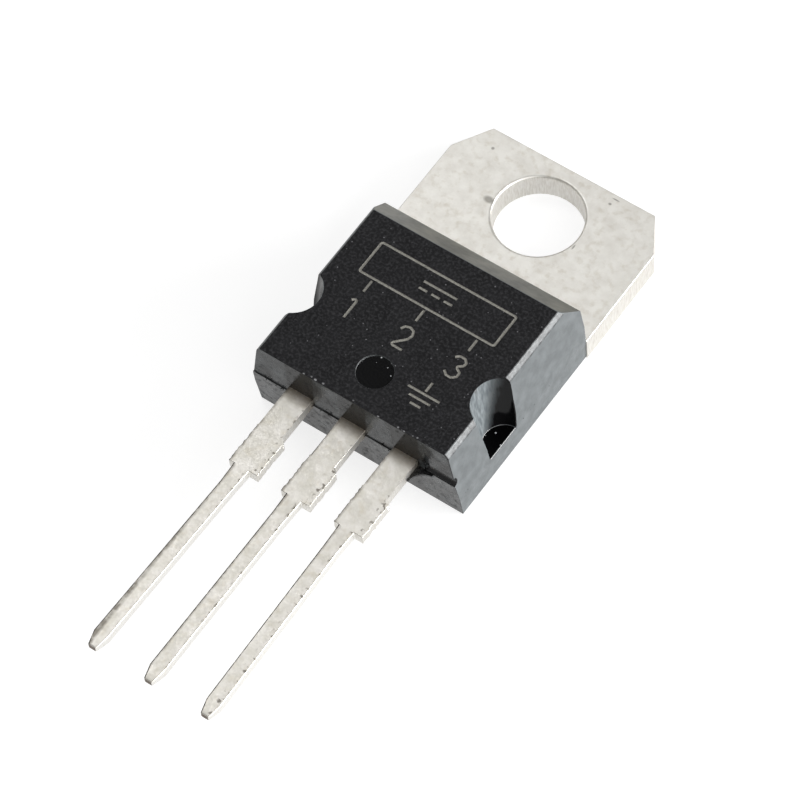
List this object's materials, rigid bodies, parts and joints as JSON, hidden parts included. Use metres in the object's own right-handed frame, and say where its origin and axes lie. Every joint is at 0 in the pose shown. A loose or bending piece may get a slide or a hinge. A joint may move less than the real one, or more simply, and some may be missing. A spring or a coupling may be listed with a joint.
{
  "type": "voltage regulator",
  "caption": "Fixed linear voltage regulator in a flat-tab moulded package with a screw hole and a row of straight leads.",
  "frame": {"origin": "axis of the mounting hole at the metal back face", "axes": "+Z out of the marked face, away from the heatsink; +Y towards the free end of the tab, so the leads point to -Y; +X across, towards the output lead"},
  "size_m": [0.01, 0.0291, 0.0044],
  "materials": {
    "tinned_copper": "matt tin plate on stamped copper",
    "silicon": "polished",
    "solder": "dull",
    "bond_wire": "drawn",
    "mould_compound": "fine spark-eroded top face, smoother sides"
  },
  "bodies": {
    "root": {"heatsink_tab": "tinned_copper", "ground_lead": "tinned_copper", "input_lead": "tinned_copper", "output_lead": "tinned_copper", "silicon_die": "silicon", "die_solder": "solder", "input_bond_wire": "bond_wire", "output_bond_wire": "bond_wire", "sense_bond_wire": "bond_wire", "ground_bond_wire": "bond_wire", "moulded_body": "mould_compound"}
  },
  "joints": []
}
